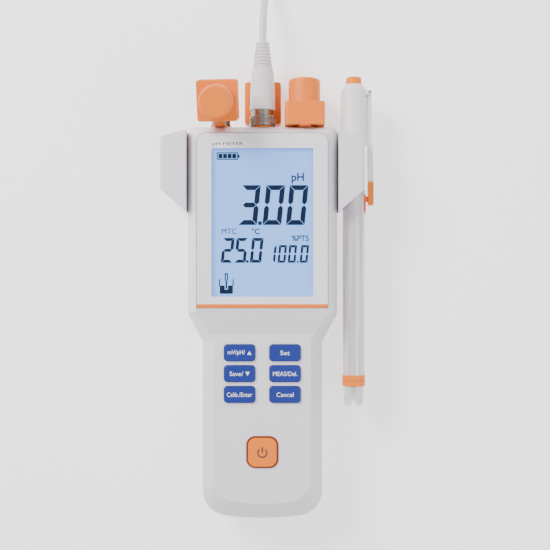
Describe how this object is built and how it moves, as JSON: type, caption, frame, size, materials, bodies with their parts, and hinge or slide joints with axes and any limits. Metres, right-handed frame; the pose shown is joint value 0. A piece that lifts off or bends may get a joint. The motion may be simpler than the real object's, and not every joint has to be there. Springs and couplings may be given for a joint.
{
  "type": "ph meter",
  "caption": "Hand-held ph meter with a large display, seven keys, side wings that hold an electrode, rubber socket caps and a coaxial lead.",
  "frame": {"origin": "rear rest face, on the case's centre plane, midway along the case", "axes": "+X to the meter's right, +Y towards the sockets, +Z out of the display"},
  "size_m": [0.1161, 0.372, 0.0615],
  "materials": {
    "case_plastic": "satin off-white",
    "window_print": "gloss",
    "clear_lens": "clear gloss",
    "orange_print": "gloss",
    "lcd": "pale blue display",
    "white_plastic": "satin",
    "blue_key": "satin",
    "orange_key": "satin",
    "grey_rubber": "matte",
    "steel": "satin",
    "board": "solder mask",
    "chip": "matte",
    "nickel": "nickel plate",
    "black_plastic": "satin",
    "brass": "gold flash",
    "orange_rubber": "matte silicone",
    "pale_rubber": "matte",
    "pale_shaft": "translucent",
    "clear_plastic": "clear",
    "glass": "clear",
    "wire": "matte",
    "cell": "printed sleeve"
  },
  "bodies": {
    "meter": {"backlight": "white_plastic", "batteries": "cell", "battery_contacts": "steel", "bnc_jack": "nickel", "board_chips": "chip", "board_screws": "steel", "cap_collars": "orange_rubber", "case_gasket": "grey_rubber", "case_screws": "steel", "display_lens": "clear_lens", "front_shell": "case_plastic", "key_mat": "grey_rubber", "key_switches": "steel", "lcd_frame": "white_plastic", "lcd_glass": "lcd", "lead_coil": "pale_rubber", "lead_connector": "pale_rubber", "lead_tail": "pale_rubber", "lead_tie": "black_plastic", "lead_tube": "pale_rubber", "left_wing": "case_plastic", "left_wing_screws": "steel", "main_board": "board", "orange_stripe": "orange_print", "plug_body": "nickel", "plug_boot": "pale_rubber", "plug_pin": "brass", "power_jack": "black_plastic", "power_key_rim": "orange_key", "probe_jack": "nickel", "rear_shell": "case_plastic", "right_wing": "case_plastic", "right_wing_screws": "steel", "strain_relief": "pale_rubber", "window_panel": "window_print"},
    "coupling_nut": {"coupling_nut": "nickel"},
    "left_cap": {"left_cap": "orange_rubber"},
    "right_cap": {"right_cap": "orange_rubber"},
    "centre_cap": {"centre_cap": "orange_rubber"},
    "battery_door": {"battery_door": "case_plastic"},
    "key_up": {"key_up": "blue_key"},
    "key_set": {"key_set": "blue_key"},
    "key_down": {"key_down": "blue_key"},
    "key_measure": {"key_measure": "blue_key"},
    "key_enter": {"key_enter": "blue_key"},
    "key_cancel": {"key_cancel": "blue_key"},
    "power_key": {"power_key": "orange_key"},
    "electrode": {"electrode_cap": "orange_rubber", "electrode_head": "white_plastic", "electrode_shaft": "pale_shaft", "refill_grommet": "grey_rubber", "electrode_ring": "orange_rubber", "electrode_guard": "clear_plastic", "glass_stem": "glass", "inner_wire": "wire", "lever_pin": "steel"},
    "stopper_lever": {"refill_lever": "white_plastic", "refill_stopper": "orange_rubber"}
  },
  "joints": [
    {"name": "key_up_press", "type": "slide", "parent": "meter", "child": "key_up", "axis": [0, 0, -1], "range_m": [0, 0.0006], "stiffness_N_per_m": 400, "springref_m": -0.0004},
    {"name": "key_set_press", "type": "slide", "parent": "meter", "child": "key_set", "axis": [0, 0, -1], "range_m": [0, 0.0006], "stiffness_N_per_m": 400, "springref_m": -0.0004},
    {"name": "key_down_press", "type": "slide", "parent": "meter", "child": "key_down", "axis": [0, 0, -1], "range_m": [0, 0.0006], "stiffness_N_per_m": 400, "springref_m": -0.0004},
    {"name": "key_measure_press", "type": "slide", "parent": "meter", "child": "key_measure", "axis": [0, 0, -1], "range_m": [0, 0.0006], "stiffness_N_per_m": 400, "springref_m": -0.0004},
    {"name": "key_enter_press", "type": "slide", "parent": "meter", "child": "key_enter", "axis": [0, 0, -1], "range_m": [0, 0.0006], "stiffness_N_per_m": 400, "springref_m": -0.0004},
    {"name": "key_cancel_press", "type": "slide", "parent": "meter", "child": "key_cancel", "axis": [0, 0, -1], "range_m": [0, 0.0006], "stiffness_N_per_m": 400, "springref_m": -0.0004},
    {"name": "power_key_press", "type": "slide", "parent": "meter", "child": "power_key", "axis": [0, 0, -1], "range_m": [0, 0.0006], "stiffness_N_per_m": 400, "springref_m": -0.0004},
    {"name": "nut_turn", "type": "hinge", "parent": "meter", "child": "coupling_nut", "pos_m": [0, 0.11, 0.019], "axis": [0, 1, 0], "range_deg": [0, 90]},
    {"name": "left_cap_swing", "type": "hinge", "parent": "meter", "child": "left_cap", "pos_m": [-0.023, 0.1073, 0.03145], "axis": [0.9998, 0, 0.0175], "range_deg": [-104, 0]},
    {"name": "right_cap_swing", "type": "hinge", "parent": "meter", "child": "right_cap", "pos_m": [0.023, 0.1073, 0.03145], "axis": [1, 0, 0], "range_deg": [0, 106]},
    {"name": "centre_cap_swing", "type": "hinge", "parent": "meter", "child": "centre_cap", "pos_m": [0, 0.1073, 0.0056], "axis": [1, 0, 0], "range_deg": [-35, 1.5]},
    {"name": "electrode_lift", "type": "slide", "parent": "meter", "child": "electrode", "axis": [0, 1, 0], "range_m": [0, 0.155]},
    {"name": "stopper_swing", "type": "hinge", "parent": "electrode", "child": "stopper_lever", "pos_m": [0.0586, 0.1258, 0.019], "axis": [0, 0, 1], "range_deg": [0, 40]},
    {"name": "door_slide", "type": "slide", "parent": "meter", "child": "battery_door", "axis": [0, -1, 0], "range_m": [0, 0.082]}
  ]
}
